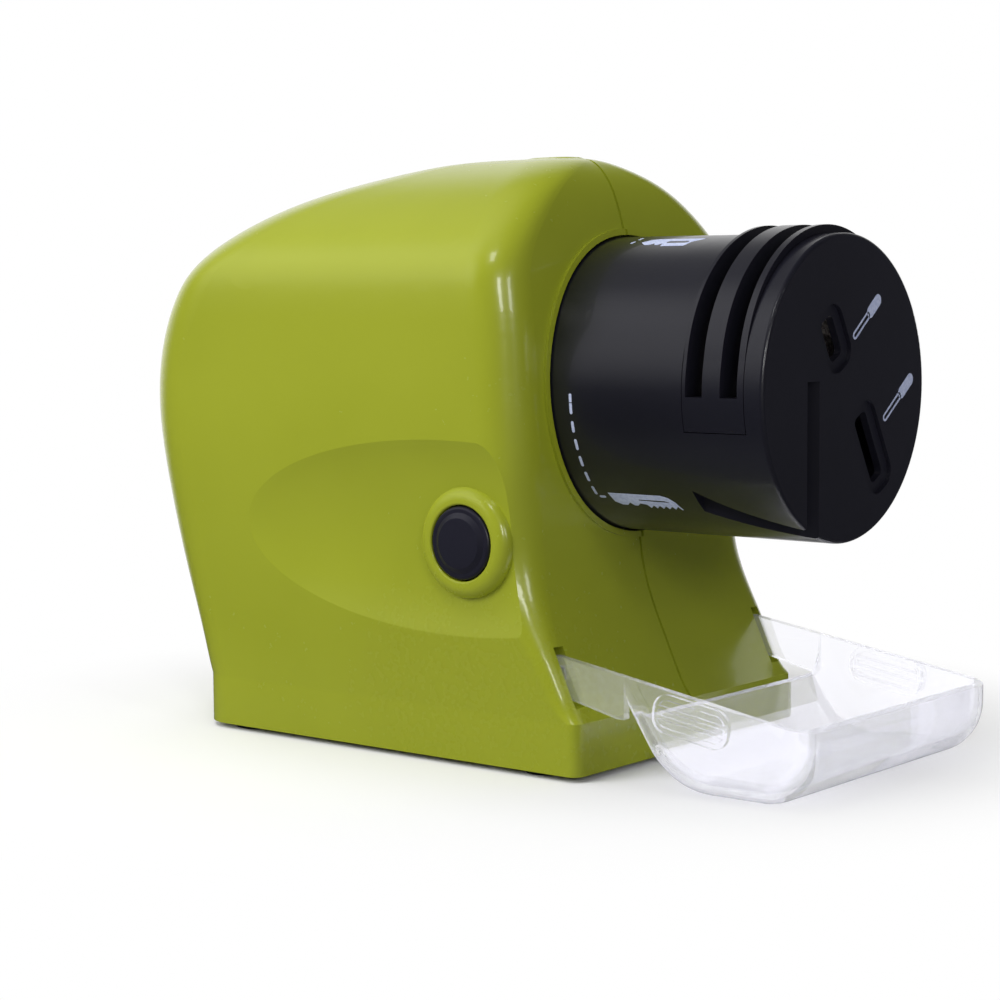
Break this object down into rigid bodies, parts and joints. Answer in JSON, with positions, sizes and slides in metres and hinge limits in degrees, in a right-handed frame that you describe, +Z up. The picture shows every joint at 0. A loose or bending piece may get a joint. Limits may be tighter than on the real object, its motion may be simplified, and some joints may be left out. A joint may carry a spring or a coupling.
{
  "type": "electric knife sharpener",
  "caption": "Battery-driven kitchen sharpener with a turning slotted drum over a spinning stone, a push button and a clear tray for grindings.",
  "frame": {"origin": "on the table under the middle of the base; the base's underside is 0.7 mm above it, on the feet", "axes": "+X forward along the drum axis, +Z up, the push button on the -Y side"},
  "size_m": [0.1129, 0.056, 0.0803],
  "materials": {
    "housing": "satin moulded plastic",
    "drum": "satin moulded plastic",
    "button": "moulded plastic",
    "tray": "clear moulded plastic",
    "inner_plastic": "moulded plastic",
    "rubber": "soft rubber",
    "steel": "plain or zinc plated",
    "brass": "plain",
    "iron": "plain",
    "stone": "bonded abrasive",
    "red_lead": "insulated wire",
    "black_lead": "insulated wire"
  },
  "bodies": {
    "root": {"left_shell": "housing", "right_shell": "housing", "case_screws": "steel", "rubber_feet": "rubber", "retaining_ring": "steel", "ring_screws": "steel", "detent_ball": "steel", "detent_spring": "steel", "motor_can": "steel", "motor_end_cap": "inner_plastic", "motor_terminals": "brass", "motor_magnets": "iron", "front_bush": "brass", "rear_bush": "brass", "motor_brushes": "brass", "battery_holder": "inner_plastic", "aa_cell_1": "steel", "aa_cell_2": "steel", "aa_cell_3": "steel", "aa_cell_4": "steel", "contact_plates": "brass", "contact_springs": "steel", "switch_body": "inner_plastic", "button_spring": "steel", "red_lead": "red_lead", "switch_lead": "black_lead", "black_lead": "black_lead"},
    "drum": {"drum_barrel": "drum", "knife_guide": "drum", "drum_cover": "drum"},
    "rotor": {"motor_shaft": "steel", "armature_core": "iron", "armature_windings": "brass", "commutator": "brass", "stone_hub": "steel", "grinding_stone": "stone", "stone_nut": "steel"},
    "button": {"power_button": "button", "switch_plunger": "button"},
    "tray": {"chip_tray": "tray"},
    "door": {"battery_door": "housing"}
  },
  "joints": [
    {"name": "drum_turn", "type": "hinge", "parent": "root", "child": "drum", "pos_m": [0.05, 0, 0.0496], "axis": [1, 0, 0], "continuous": true},
    {"name": "stone_spin", "type": "hinge", "parent": "root", "child": "rotor", "pos_m": [0.05, 0, 0.0496], "axis": [1, 0, 0], "continuous": true},
    {"name": "button_press", "type": "slide", "parent": "root", "child": "button", "axis": [0, 1, 0], "range_m": [0, 0.0015], "stiffness_N_per_m": 900, "springref_m": -0.001, "deforming": ["button_spring"]},
    {"name": "tray_tilt", "type": "hinge", "parent": "root", "child": "tray", "pos_m": [0.0296, 0, 0.0133], "axis": [0, -1, 0], "range_deg": [0, 25]},
    {"name": "door_swing", "type": "hinge", "parent": "root", "child": "door", "pos_m": [0.02165, 0, 0.00155], "axis": [0, -1, 0], "range_deg": [0, 90]}
  ]
}
